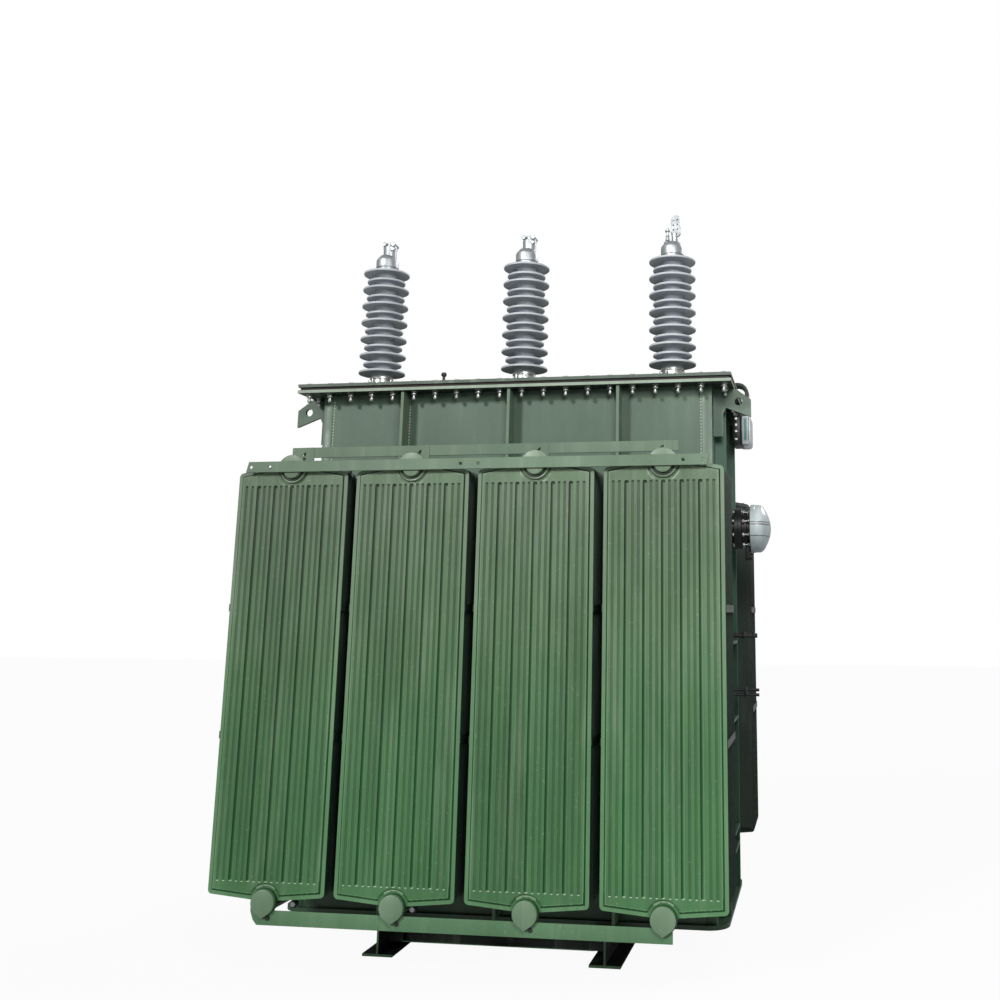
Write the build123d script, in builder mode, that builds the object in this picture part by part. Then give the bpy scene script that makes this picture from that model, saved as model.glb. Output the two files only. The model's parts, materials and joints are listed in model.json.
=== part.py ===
from build123d import *
from math import atan, cos, degrees, pi
import os

# Oil-filled power transformer: a welded tank on two skids, four plate radiators
# along each long side and three tall bushings in a row on the bolted cover.
# X runs along the tank, Y from the front radiators to the rear ones, Z up from the floor.

# Tank, from the floor to the top of its flange
tank_length = 2060
tank_depth = 950
tank_height = 2700
tank_wall = 10
tank_floor = 20
floor_overhang = 25
floor_corner = 100
flange_width = 105
flange_thickness = 16
spacer_width = 78
spacer_thickness = 15
cover_thickness = 16

# Flat bars that stiffen the tank walls
stiffener_thickness = 15
front_stiffener_depth = 90
front_stiffener_spacing = 565
end_stiffener_depth = 55
end_stiffener_setback = 175
end_rib_heights = (385, 468, 1017, 1410)

# Skids and the beams between them
skid_height = 145
skid_width = 145
skid_flange = 12
skid_web = 9
skid_length = 1240
skid_spacing = 1072
beam_height = 120
beam_width = 75
beam_wall = 12
beam_spacing = 900

# Radiators
radiator_count = 4
radiator_pitch = 580
radiator_reach = 627
fin_count = 10
fin_pitch = 45
fin_thickness = 10
fin_width = 536
fin_bottom_slope = 24
fin_top_slope = 52
fin_point_above = 25
rim_width = 20
rim_thickness = 4
pressing_depth = 8
groove_count = 5
groove_pitch = 82
groove_width = 20
groove_depth = 5
groove_margin = 55
header_low = 336
header_drop = 478
header_radius = 45
header_sides = 6
cap_radius = 56
cap_sides = 12
cap_thickness = 20
eye_width = 115
eye_top_width = 76
eye_thickness = 8
eye_rise = 30
pipe_flange_size = 150
pipe_flange_thickness = 14
stub_length = 60

# Bars that tie the radiators of one side together
strap_levels = (0.364, 0.66)
strap_height = 32
strap_thickness = 4
tie_thickness = 8
top_tie_overhang = 215
top_tie_shift = -6
top_tie_height = 50
top_tie_slant = 12
bottom_tie_overhang = 38
bottom_tie_height = 60
bottom_tie_slant = 30
bottom_tie_drop = 93
upper_tie_overhang = 70
upper_tie_shift = -21
upper_tie_height = 50
upper_tie_rise = 66
upper_tie_gap = 3
tie_lug_width = 40
tie_lug_setback = 15

# Bushings
round_sides = 16
bushing_pitch = 805
bushing_setback = 203
bushing_flange_radius = 78
bushing_flange_thickness = 18
turret_radius = 62
turret_height = 89
core_radius = 55.5
shed_count = 13
shed_pitch = 47
shed_radius = 125
small_shed_radius = 103.5
shed_rise = 19
first_shed = 19
neck_length = 26
cap_height = 75
terminal_cap_radius = 59
stud_radius = 35
stud_height = 95
tall_stud_height = 168

# Lifting lugs under the flange at the tank's ends
lug_thickness = 20
lug_setback = 95
front_lug_reach = 190
rear_lug_reach = 150
lug_nose_length = 80
lug_nose_drop = 59
lug_tip_height = 90
lug_arm_height = 99
lug_corner_width = 15
lug_corner_height = 30
lug_leg_width = 48
lug_leg_height = 246
lug_hole_radius = 20
lug_hole_inset = 63
lug_hole_drop = 69

# Pressure relief on the right end
relief_drop = 700
relief_pipe_radius = 75
relief_pipe_length = 74
relief_flange_radius = 106
relief_flange_thickness = 20
relief_body_radius = 85
relief_body_length = 43
spout_width = 50
spout_thickness = 30
spout_height = 78
spout_reach = 38
dome_radius = 127
dome_sides = 24
dome_depth = 106
dome_slope = 62
dome_rounding = 24

# Gauge box on the right end, with its conduits over the cover's edge
gauge_inset = 62
gauge_width = 215
gauge_height = 158
gauge_drop = 51
gauge_base_depth = 56
gauge_box_depth = 45
gauge_corner = 16
conduit_count = 3
conduit_pitch = 36
conduit_radius = 11
conduit_setback = 85
conduit_rise = 105
conduit_bend = 40

# Vent plug on the cover
vent_plug_radius = 16
vent_plug_height = 28
vent_plug_offset = -355
vent_plug_setback = 40

half_length = tank_length / 2
half_depth = tank_depth / 2
end_stiffener_line = half_depth - end_stiffener_setback
floor_top = skid_height + tank_floor
flange_bottom = tank_height - flange_thickness
cover_bottom = tank_height + spacer_thickness
cover_top = cover_bottom + cover_thickness
panel_plane = half_depth + radiator_reach
fin_stack = (fin_count - 1) * fin_pitch + fin_thickness
header_high = tank_height - header_drop
header_flat = header_radius * cos(pi / header_sides)
radiator_places = [(i - (radiator_count - 1) / 2) * radiator_pitch for i in range(radiator_count)]
last_radiator = radiator_places[-1]


def save(piece, name):
    piece.part.label = name
    export_step(piece.part, f"parts/{name}.step")


def save_mirrored(piece, plane, name):
    with BuildPart() as copy:
        mirror(piece.part, about=plane)
    save(copy, name)


def taper_angle(wide, narrow, rise, sides):
    return degrees(atan((wide - narrow) * cos(pi / sides) / rise))


os.makedirs("parts", exist_ok=True)

# Tank walls, floor, flange and cover

with BuildPart() as front_wall:
    with BuildSketch(Plane.XY.offset(floor_top)):
        with Locations((0, -half_depth)):
            Rectangle(tank_length, tank_wall, align=(Align.CENTER, Align.MIN))
    extrude(amount=tank_height - floor_top)
save(front_wall, "tank_front_wall")
save_mirrored(front_wall, Plane.XZ, "tank_rear_wall")

with BuildPart() as left_wall:
    with BuildSketch(Plane.XY.offset(floor_top)):
        with Locations((-half_length, 0)):
            Rectangle(tank_wall, tank_depth - 2 * tank_wall, align=(Align.MIN, Align.CENTER))
    extrude(amount=tank_height - floor_top)
save(left_wall, "tank_left_wall")
save_mirrored(left_wall, Plane.YZ, "tank_right_wall")

with BuildPart() as tank_bottom:
    with BuildSketch(Plane.XY.offset(skid_height)):
        RectangleRounded(
            tank_length + 2 * end_stiffener_depth, tank_depth + 2 * floor_overhang, floor_corner
        )
    extrude(amount=tank_floor)
save(tank_bottom, "tank_bottom_plate")

# Each flange bar carries a narrower spacer bar that leaves a groove under the cover's edge.
with BuildPart() as flange_front:
    with BuildSketch(Plane.XY.offset(flange_bottom)):
        with Locations((0, -half_depth)):
            Rectangle(tank_length + 2 * flange_width, flange_width, align=(Align.CENTER, Align.MAX))
    extrude(amount=flange_thickness)
    with BuildSketch(Plane.XY.offset(tank_height)):
        with Locations((0, -half_depth)):
            Rectangle(tank_length + 2 * spacer_width, spacer_width, align=(Align.CENTER, Align.MAX))
    extrude(amount=spacer_thickness)
save(flange_front, "tank_flange_front")
save_mirrored(flange_front, Plane.XZ, "tank_flange_rear")

with BuildPart() as flange_left:
    with BuildSketch(Plane.XY.offset(flange_bottom)):
        with Locations((-half_length, 0)):
            Rectangle(flange_width, tank_depth, align=(Align.MAX, Align.CENTER))
    extrude(amount=flange_thickness)
    with BuildSketch(Plane.XY.offset(tank_height)):
        with Locations((-half_length, 0)):
            Rectangle(spacer_width, tank_depth, align=(Align.MAX, Align.CENTER))
    extrude(amount=spacer_thickness)
save(flange_left, "tank_flange_left")
save_mirrored(flange_left, Plane.YZ, "tank_flange_right")

with BuildPart() as cover:
    with BuildSketch(Plane.XY.offset(cover_bottom)):
        Rectangle(tank_length + 2 * flange_width, tank_depth + 2 * flange_width)
    extrude(amount=cover_thickness)
save(cover, "tank_cover")

# Wall stiffeners

with BuildPart() as front_stiffeners:
    with BuildSketch(Plane.XY.offset(floor_top)):
        with Locations((0, -half_depth - front_stiffener_depth / 2)):
            with GridLocations(front_stiffener_spacing, 0, 3, 1):
                Rectangle(stiffener_thickness, front_stiffener_depth)
    extrude(amount=flange_bottom - floor_top)
save(front_stiffeners, "front_stiffeners")
save_mirrored(front_stiffeners, Plane.XZ, "rear_stiffeners")

with BuildPart() as left_stiffeners:
    with BuildSketch(Plane.XY.offset(floor_top)):
        with Locations((-half_length - end_stiffener_depth / 2, 0)):
            with GridLocations(0, 2 * end_stiffener_line, 1, 2):
                Rectangle(end_stiffener_depth, stiffener_thickness)
    extrude(amount=flange_bottom - floor_top)
save(left_stiffeners, "left_stiffeners")
save_mirrored(left_stiffeners, Plane.YZ, "right_stiffeners")

with BuildPart() as left_ribs:
    with BuildSketch(Plane.YZ.offset(-half_length)):
        with Locations(*[(0, height) for height in end_rib_heights]):
            Rectangle(2 * end_stiffener_line - stiffener_thickness, stiffener_thickness)
    extrude(amount=-end_stiffener_depth)
save(left_ribs, "left_end_ribs")
save_mirrored(left_ribs, Plane.YZ, "right_end_ribs")

# Skids and cross beams

with BuildPart() as skids:
    with BuildSketch(Plane.XZ.offset(-skid_length / 2)):
        with Locations((-skid_spacing / 2, 0)):
            Rectangle(skid_width, skid_flange, align=(Align.CENTER, Align.MIN))
            Rectangle(skid_web, skid_height, align=(Align.CENTER, Align.MIN))
        with Locations((-skid_spacing / 2, skid_height)):
            Rectangle(skid_width, skid_flange, align=(Align.CENTER, Align.MAX))
    extrude(amount=skid_length)
    mirror(about=Plane.YZ)
save(skids, "skids")

with BuildPart() as beams:
    with BuildSketch(Plane.YZ.offset(-(skid_spacing - skid_width) / 2)):
        with Locations((-beam_spacing / 2, skid_height)):
            Rectangle(beam_wall, beam_height, align=(Align.MIN, Align.MAX))
            Rectangle(beam_width, beam_wall, align=(Align.MIN, Align.MAX))
        with Locations((-beam_spacing / 2, skid_height - beam_height)):
            Rectangle(beam_width, beam_wall, align=(Align.MIN, Align.MIN))
    extrude(amount=skid_spacing - skid_width)
    mirror(about=Plane.XZ)
save(beams, "cross_beams")

# Plate radiators

point_high = header_high + fin_point_above
corner_low = header_low + fin_bottom_slope
corner_high = point_high - fin_top_slope


def fin_outline(inset):
    half = fin_width / 2 - inset
    Polygon(
        (-half, corner_low + inset),
        (0, header_low + inset),
        (half, corner_low + inset),
        (half, corner_high - inset),
        (0, point_high - inset),
        (-half, corner_high - inset),
        align=None,
    )


def groove_outline():
    tip = groove_width / 2
    low = corner_low + groove_margin
    high = corner_high - groove_margin
    Polygon(
        (-tip, low + tip),
        (0, low),
        (tip, low + tip),
        (tip, high - tip),
        (0, high),
        (-tip, high - tip),
        align=None,
    )


def header_outline(places):
    with Locations(*[(place, height) for place in places for height in (header_low, header_high)]):
        RegularPolygon(header_radius, header_sides)


def pipe_flange_outline(places):
    with Locations(*[(place, height) for place in places for height in (header_low, header_high)]):
        Rectangle(pipe_flange_size, pipe_flange_size)


inner_fins = [Plane.XZ.offset(panel_plane - k * fin_pitch) for k in range(1, fin_count)]
pipe_flange_front = panel_plane - fin_stack - stub_length
groove_centres = [((i - (groove_count - 1) / 2) * groove_pitch, 0) for i in range(groove_count)]
eye_top = header_high + top_tie_height / 2 + eye_rise

with BuildPart() as radiator:
    with BuildSketch(*inner_fins):
        fin_outline(0)
    extrude(amount=-fin_thickness)
    # The outer fin: a thin welded rim round a raised pressing with upright grooves.
    with BuildSketch(Plane.XZ.offset(panel_plane - pressing_depth)):
        fin_outline(0)
    extrude(amount=-rim_thickness)
    with BuildSketch(Plane.XZ.offset(panel_plane - pressing_depth)):
        fin_outline(rim_width)
    extrude(amount=pressing_depth)
    with BuildSketch(Plane.XZ.offset(panel_plane)):
        with Locations(*groove_centres):
            groove_outline()
    extrude(amount=-groove_depth, mode=Mode.SUBTRACT)
    # Headers through all the fins, with a stub and flange towards the tank.
    with BuildSketch(Plane.XZ.offset(panel_plane - tie_thickness)):
        header_outline([0])
    extrude(amount=-(fin_stack + stub_length - tie_thickness))
    with BuildSketch(Plane.XZ.offset(pipe_flange_front)):
        pipe_flange_outline([0])
    extrude(amount=pipe_flange_thickness)
    with BuildSketch(Plane.XZ.offset(panel_plane)):
        with Locations((0, header_low), (0, header_high)):
            RegularPolygon(cap_radius, cap_sides)
    extrude(amount=cap_thickness)
    # The lifting eye stands up behind the top tie bar.
    with BuildSketch(Plane.XZ.offset(panel_plane + cap_thickness)):
        Polygon(
            (-eye_width / 2, header_high),
            (eye_width / 2, header_high),
            (eye_top_width / 2, eye_top),
            (-eye_top_width / 2, eye_top),
            align=None,
        )
    extrude(amount=-eye_thickness)

for number, place in enumerate(radiator_places, start=1):
    with BuildPart() as placed_radiator:
        with Locations((place, 0, 0)):
            add(radiator.part)
    save(placed_radiator, f"radiator_front_{number}")
    save_mirrored(placed_radiator, Plane.XZ, f"radiator_rear_{number}")

# Short pipes from the tank walls to the radiators' flanges

with BuildPart() as pipes:
    with BuildSketch(Plane.XZ.offset(half_depth)):
        header_outline(radiator_places)
    extrude(amount=pipe_flange_front - half_depth)
    with BuildSketch(Plane.XZ.offset(pipe_flange_front)):
        pipe_flange_outline(radiator_places)
    extrude(amount=-pipe_flange_thickness)
    mirror(about=Plane.XZ)
save(pipes, "radiator_pipes")

# Straps across the fins' edges, and the long bars that tie the radiators together

strap_offset = (fin_width + strap_thickness) / 2
strap_places = [
    (place + side * strap_offset, header_low + level * (header_high - header_low))
    for place in radiator_places
    for side in (-1, 1)
    for level in strap_levels
]
with BuildPart() as straps:
    with BuildSketch(Plane.XZ.offset(panel_plane - pressing_depth)):
        with Locations(*strap_places):
            Rectangle(strap_thickness, strap_height)
    extrude(amount=-(fin_stack - pressing_depth))
    mirror(about=Plane.XZ)
save(straps, "fin_straps")

top_tie_half = last_radiator + top_tie_overhang
with BuildPart() as top_ties:
    with BuildSketch(Plane.XZ.offset(panel_plane + cap_thickness)):
        with Locations((top_tie_shift, header_high - top_tie_height / 2)):
            Polygon(
                (-top_tie_half, 0),
                (top_tie_half - top_tie_slant, 0),
                (top_tie_half, top_tie_height),
                (-top_tie_half + top_tie_slant, top_tie_height),
                align=None,
            )
    extrude(amount=tie_thickness)
    mirror(about=Plane.XZ)
save(top_ties, "top_tie_bars")

bottom_tie_half = last_radiator + bottom_tie_overhang
with BuildPart() as bottom_ties:
    with BuildSketch(Plane.XZ.offset(panel_plane)):
        with Locations((0, header_low - bottom_tie_drop)):
            Polygon(
                (-bottom_tie_half, 0),
                (bottom_tie_half, 0),
                (bottom_tie_half, bottom_tie_height),
                (-bottom_tie_half - bottom_tie_slant, bottom_tie_height),
                align=None,
            )
    extrude(amount=-tie_thickness)
    mirror(about=Plane.XZ)
save(bottom_ties, "bottom_tie_bars")

# The upper bar stands behind the front fins, bolted to a lug on each top header.
lug_face = panel_plane - upper_tie_gap * fin_pitch - fin_thickness - tie_lug_setback
upper_tie_low = header_high + upper_tie_rise

with BuildPart() as upper_ties:
    with BuildSketch(Plane.XZ.offset(lug_face)):
        with Locations((upper_tie_shift, upper_tie_low)):
            Rectangle(
                2 * (last_radiator + upper_tie_overhang), upper_tie_height, align=(Align.CENTER, Align.MIN)
            )
    extrude(amount=tie_thickness)
    mirror(about=Plane.XZ)
save(upper_ties, "upper_tie_bars")

tie_lug_foot = header_high + header_flat
with BuildPart() as tie_lugs:
    with BuildSketch(Plane.XZ.offset(lug_face)):
        with Locations(*[(place, tie_lug_foot) for place in radiator_places]):
            Rectangle(
                tie_lug_width, upper_tie_low + upper_tie_height - tie_lug_foot, align=(Align.CENTER, Align.MIN)
            )
    extrude(amount=-tie_thickness)
    mirror(about=Plane.XZ)
save(tie_lugs, "tie_bar_lugs")

# Bushings: flange and turret, ribbed insulator, terminal

bushing_line = bushing_setback - half_depth
insulator_bottom = cover_top + turret_height
insulator_top = insulator_bottom + first_shed + (shed_count - 1) * shed_pitch + neck_length
terminal_shoulder = insulator_top + cap_height
bushing_places = [(-bushing_pitch, bushing_line), (0, bushing_line), (bushing_pitch, bushing_line)]

with BuildPart() as bushing_flanges:
    with BuildSketch(Plane.XY.offset(cover_top)):
        with Locations(*bushing_places):
            RegularPolygon(bushing_flange_radius, round_sides)
    extrude(amount=bushing_flange_thickness)
    with BuildSketch(Plane.XY.offset(cover_top)):
        with Locations(*bushing_places):
            RegularPolygon(turret_radius, round_sides)
    extrude(amount=turret_height)
save(bushing_flanges, "bushing_flanges")


with BuildPart() as insulator:
    with BuildSketch(Plane.XY.offset(insulator_bottom)):
        RegularPolygon(core_radius, round_sides)
    extrude(amount=insulator_top - insulator_bottom)
    # Wide and narrow sheds take turns up the core; each is flat below and sloped above.
    for first, rim in enumerate((shed_radius, small_shed_radius)):
        levels = [insulator_bottom + first_shed + k * shed_pitch for k in range(first, shed_count, 2)]
        with BuildSketch(*[Plane.XY.offset(level) for level in levels]):
            RegularPolygon(rim, round_sides)
        extrude(amount=shed_rise, taper=taper_angle(rim, core_radius, shed_rise, round_sides))

with BuildPart() as insulators:
    with Locations(*[(x, y, 0) for x, y in bushing_places]):
        add(insulator.part)
save(insulators, "bushing_insulators")

with BuildPart() as terminals:
    with BuildSketch(Plane.XY.offset(insulator_top)):
        with Locations(*bushing_places):
            RegularPolygon(terminal_cap_radius, round_sides)
    extrude(amount=cap_height)
    with BuildSketch(Plane.XY.offset(terminal_shoulder)):
        with Locations(*bushing_places[:-1]):
            Circle(stud_radius)
    extrude(amount=stud_height)
    with BuildSketch(Plane.XY.offset(terminal_shoulder)):
        with Locations(bushing_places[-1]):
            Circle(stud_radius)
    extrude(amount=tall_stud_height)
save(terminals, "bushing_terminals")

# Lifting lugs, drawn outwards and downwards from the corner of wall and flange

lug_line = half_depth - lug_setback
with BuildPart() as left_lugs:
    for lug_y, reach in ((-lug_line, front_lug_reach), (lug_line, rear_lug_reach)):
        lug_corner = (-half_length, lug_y, flange_bottom)
        with BuildSketch(Plane(origin=lug_corner, x_dir=(-1, 0, 0), z_dir=(0, 1, 0))):
            Polygon(
                (0, 0),
                (reach - lug_nose_length, 0),
                (reach, -lug_nose_drop),
                (reach, -lug_nose_drop - lug_tip_height),
                (lug_leg_width + lug_corner_width, -lug_arm_height),
                (lug_leg_width, -lug_arm_height - lug_corner_height),
                (lug_leg_width, -lug_leg_height),
                (0, -lug_leg_height),
                align=None,
            )
            with Locations((reach - lug_hole_inset, -lug_hole_drop)):
                Circle(lug_hole_radius, mode=Mode.SUBTRACT)
        extrude(amount=lug_thickness / 2, both=True)
save(left_lugs, "lifting_lugs_left")
save_mirrored(left_lugs, Plane.YZ, "lifting_lugs_right")

# Pressure relief: a pipe and flange on the wall, a body with a spout, and a dome

relief_centre = (0, tank_height - relief_drop)
relief_joint = half_length + relief_pipe_length + relief_flange_thickness
dome_seat = relief_joint + relief_flange_thickness + relief_body_length

with BuildPart() as relief_pipe:
    with BuildSketch(Plane.YZ.offset(half_length)):
        with Locations(relief_centre):
            RegularPolygon(relief_pipe_radius, round_sides)
    extrude(amount=relief_pipe_length)
    with BuildSketch(Plane.YZ.offset(relief_joint)):
        with Locations(relief_centre):
            RegularPolygon(relief_flange_radius, round_sides)
    extrude(amount=-relief_flange_thickness)
save(relief_pipe, "relief_pipe")

with BuildPart() as relief_body:
    with BuildSketch(Plane.YZ.offset(relief_joint)):
        with Locations(relief_centre):
            RegularPolygon(relief_flange_radius, round_sides)
    extrude(amount=relief_flange_thickness)
    with BuildSketch(Plane.YZ.offset(dome_seat)):
        with Locations(relief_centre):
            RegularPolygon(relief_body_radius, round_sides)
    extrude(amount=-relief_body_length)
    # The spout drops from the body and turns outwards under the dome.
    with BuildSketch(Plane.XZ):
        with Locations((dome_seat, tank_height - relief_drop)):
            Rectangle(
                spout_thickness, relief_body_radius + spout_height, align=(Align.MAX, Align.MAX)
            )
        with Locations((dome_seat - spout_thickness, tank_height - relief_drop - relief_body_radius - spout_height)):
            Rectangle(spout_reach, spout_thickness, align=(Align.MIN, Align.MIN))
    extrude(amount=spout_width / 2, both=True)
save(relief_body, "relief_body")

# The dome's edge is cut back by a wide chamfer, and that one's two edges by smaller ones.
dome_face = dome_seat + dome_depth
with BuildPart() as relief_dome:
    with BuildSketch(Plane.YZ.offset(dome_seat)):
        with Locations(relief_centre):
            RegularPolygon(dome_radius, dome_sides)
    extrude(amount=dome_depth)
    for place, cut in ((dome_face, dome_slope), (dome_face, dome_rounding), (dome_face - dome_slope, dome_rounding)):
        chamfer(relief_dome.edges().filter_by_position(Axis.X, place, place), length=cut)
save(relief_dome, "relief_dome")

# Gauge box on the rear stiffener's edge

gauge_top = flange_bottom - gauge_drop
gauge_line = end_stiffener_line - gauge_inset
gauge_seat = half_length + end_stiffener_depth
gauge_joint = gauge_seat + gauge_base_depth
gauge_face = gauge_joint + gauge_box_depth

with BuildPart() as gauge_base:
    with BuildSketch(Plane.YZ.offset(gauge_seat)):
        with Locations((gauge_line, gauge_top)):
            Rectangle(gauge_width, gauge_height, align=(Align.CENTER, Align.MAX))
    extrude(amount=gauge_base_depth)
save(gauge_base, "gauge_base")

with BuildPart() as gauge_box:
    with BuildSketch(Plane.XZ.offset(-gauge_line)):
        Polygon(
            (gauge_joint, gauge_top),
            (gauge_joint, gauge_top - gauge_height),
            (gauge_face - gauge_corner, gauge_top - gauge_height),
            (gauge_face, gauge_top - gauge_height + gauge_corner),
            (gauge_face, gauge_top),
            align=None,
        )
    extrude(amount=gauge_width / 2, both=True)
save(gauge_box, "gauge_box")

# Bent conduits arch from the cover over its edge and down into the gauge box

conduit_start = half_length + flange_width - conduit_setback
conduit_end = (gauge_joint + gauge_face) / 2
conduit_top = cover_top + conduit_rise
with BuildPart() as conduits:
    for number in range(conduit_count):
        conduit_y = gauge_line + (number - (conduit_count - 1) / 2) * conduit_pitch
        with BuildLine() as route:
            Polyline(
                (conduit_start, conduit_y, cover_top),
                (conduit_start, conduit_y, conduit_top - conduit_bend),
                (conduit_start + conduit_bend, conduit_y, conduit_top),
                (conduit_end - conduit_bend, conduit_y, conduit_top),
                (conduit_end, conduit_y, conduit_top - conduit_bend),
                (conduit_end, conduit_y, gauge_top),
            )
        with BuildSketch(Plane(origin=route.line @ 0, z_dir=route.line % 0)):
            RegularPolygon(conduit_radius, 6)
        sweep(path=route.line, transition=Transition.RIGHT)
save(conduits, "gauge_conduits")

# Vent plug

with BuildPart() as vent_plug:
    with BuildSketch(Plane.XY.offset(cover_top)):
        with Locations((vent_plug_offset, vent_plug_setback - half_depth - flange_width)):
            RegularPolygon(vent_plug_radius, 6)
    extrude(amount=vent_plug_height)
save(vent_plug, "vent_plug")
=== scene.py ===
import bpy
import bmesh
import json
import math
from mathutils import Matrix, Vector


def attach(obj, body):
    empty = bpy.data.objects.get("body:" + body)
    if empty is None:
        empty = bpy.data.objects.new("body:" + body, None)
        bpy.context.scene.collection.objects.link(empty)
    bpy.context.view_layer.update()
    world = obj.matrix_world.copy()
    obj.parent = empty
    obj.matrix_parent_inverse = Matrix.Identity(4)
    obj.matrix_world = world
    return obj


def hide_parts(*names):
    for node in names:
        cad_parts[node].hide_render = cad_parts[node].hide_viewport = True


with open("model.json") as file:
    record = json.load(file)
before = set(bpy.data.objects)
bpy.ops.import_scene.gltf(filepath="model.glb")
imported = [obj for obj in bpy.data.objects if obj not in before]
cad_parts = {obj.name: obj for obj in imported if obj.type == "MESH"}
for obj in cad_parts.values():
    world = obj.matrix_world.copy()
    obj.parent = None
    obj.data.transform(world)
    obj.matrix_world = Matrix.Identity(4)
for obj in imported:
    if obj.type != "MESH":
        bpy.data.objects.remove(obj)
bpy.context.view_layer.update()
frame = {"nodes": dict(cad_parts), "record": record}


def srgb(red, green, blue):  # a colour as it shows on a screen, each part 0 to 255
    def channel(value):
        value /= 255
        return value / 12.92 if value <= 0.04045 else ((value + 0.055) / 1.055) ** 2.4
    return (channel(red), channel(green), channel(blue), 1.0)


def newGroup(name, inputs, outputs):
    group = bpy.data.node_groups.new(name, "ShaderNodeTree")
    for label, kind, value in inputs:
        socket = group.interface.new_socket(name=label, in_out="INPUT", socket_type=kind)
        socket.default_value = value
    for label, kind in outputs:
        group.interface.new_socket(name=label, in_out="OUTPUT", socket_type=kind)
    return group, group.nodes.new("NodeGroupInput"), group.nodes.new("NodeGroupOutput")


def feed(tree, socket, item):  # links another node's output, or sets a plain value
    if isinstance(item, bpy.types.NodeSocket):
        tree.links.new(item, socket)
    else:
        socket.default_value = item


def feedAll(tree, node, **values):
    for label, item in values.items():
        feed(tree, node.inputs[label.replace("_", " ")], item)
    return node


def addNode(tree, kind, **values):
    return feedAll(tree, tree.nodes.new("ShaderNode" + kind), **values)


def rangeNode(tree, value, low, high, toLow=0.0, toHigh=1.0):
    node = addNode(tree, "MapRange", Value=value, From_Min=low, From_Max=high, To_Min=toLow, To_Max=toHigh)
    return node.outputs["Result"]


def mathNode(tree, operation, first, second):
    node = addNode(tree, "Math")
    node.operation = operation
    feed(tree, node.inputs[0], first)
    feed(tree, node.inputs[1], second)
    return node.outputs[0]


def mixColour(tree, factor, first, second, blend="MIX"):
    node = addNode(tree, "Mix")
    node.data_type = "RGBA"
    node.blend_type = blend
    for label, item in (("Factor", factor), ("A", first), ("B", second)):
        feed(tree, [s for s in node.inputs if s.name == label and s.enabled][0], item)
    return [s for s in node.outputs if s.enabled][0]


def objectVector(tree):
    return addNode(tree, "TexCoord").outputs["Object"]


def noiseMask(tree, vector, stretch, detail, rough, low, high):  # 0 up to the low level of the noise, 1 from the high
    place = addNode(tree, "Mapping", Vector=vector, Scale=stretch).outputs["Vector"]
    noise = addNode(tree, "TexNoise", Vector=place, Scale=1.0, Detail=detail, Roughness=rough)
    return rangeNode(tree, noise.outputs["Fac"], low, high)


weathering = {  # stretch of each noise, its detail and roughness, and the two levels of its mask
    "patches": ((3.4, 3.4, 1.2), 3.0, 0.55, 0.35, 0.7),
    "runs": ((26.0, 26.0, 1.1), 5.0, 0.62, 0.5, 0.78),
    "veil": ((17.0, 17.0, 1.7), 4.0, 0.6, 0.52, 0.8),
    "specks": ((85.0, 85.0, 85.0), 2.0, 0.5, 0.66, 0.74),
    "dust": ((7.0, 7.0, 7.0), 6.0, 0.6, 0.3, 0.75),
}


def makeWeatherAndLitTopGroup():  # a paler top that stands for light falling from above (painted light), soft patches, runs of dirt down the sheet, and scuffs
    colour, number = "NodeSocketColor", "NodeSocketFloat"
    grey = (0.5, 0.5, 0.5, 1)
    group, entry, leave = newGroup(
        "weatheredPaintAndLitTop",
        [("Top", colour, grey), ("Low", colour, grey), ("Dirt", colour, grey), ("Chalk", colour, grey),
         ("Height Low", number, 0.6), ("Height High", number, 2.2),
         ("Streaks", number, 0.3), ("Patches", number, 0.25), ("Scuffs", number, 0.3)],
        [("Color", colour), ("Dust", number)],
    )
    vector = objectVector(group)
    height = addNode(group, "SeparateXYZ", Vector=vector).outputs["Z"]
    ramp = addNode(group, "MapRange", Value=height, From_Min=entry.outputs["Height Low"],
                   From_Max=entry.outputs["Height High"])
    ramp.interpolation_type = "SMOOTHSTEP"
    shade = mixColour(group, ramp.outputs["Result"], entry.outputs["Low"], entry.outputs["Top"])
    for pattern, strength, tone in (("patches", "Patches", "Dirt"), ("runs", "Streaks", "Dirt"),
                                    ("veil", "Scuffs", "Chalk"), ("specks", "Scuffs", "Chalk")):
        mask = noiseMask(group, vector, *weathering[pattern])
        mask = mathNode(group, "MULTIPLY", mask, entry.outputs[strength])
        blend = "SOFT_LIGHT" if pattern == "patches" else "MIX"
        shade = mixColour(group, mask, shade, entry.outputs[tone], blend)
    group.links.new(shade, leave.inputs["Color"])
    group.links.new(noiseMask(group, vector, *weathering["dust"]), leave.inputs["Dust"])
    return group


def makeGrainGroup():  # fine skin of a sprayed or cast surface, as a height
    number = "NodeSocketFloat"
    group, entry, leave = newGroup(
        "fineSkin",
        [("Fine", number, 260.0), ("Coarse", number, 26.0), ("Coarse Share", number, 0.4)],
        [("Height", number), ("Shade", number)],
    )
    vector = objectVector(group)
    heights = []
    for label in ("Fine", "Coarse"):
        node = addNode(group, "TexNoise", Vector=vector, Scale=entry.outputs[label], Detail=3.0)
        heights.append(node.outputs["Fac"])
    coarse = mathNode(group, "MULTIPLY", heights[1], entry.outputs["Coarse Share"])
    group.links.new(mathNode(group, "ADD", heights[0], coarse), leave.inputs["Height"])
    group.links.new(heights[1], leave.inputs["Shade"])
    return group


weatherAndLitTopGroup = makeWeatherAndLitTopGroup()
grainGroup = makeGrainGroup()
dirt, chalk = srgb(22, 36, 24), srgb(168, 178, 160)


def startMaterial(name):
    material = bpy.data.materials.new(name)
    material.use_nodes = True
    return material, material.node_tree, material.node_tree.nodes["Principled BSDF"]


def groupNode(tree, group, **values):
    node = addNode(tree, "Group")
    node.node_tree = group
    return feedAll(tree, node, **values)


def bumpNormal(tree, height, strength, distance):
    return addNode(tree, "Bump", Strength=strength, Distance=distance, Height=height).outputs["Normal"]


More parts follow.
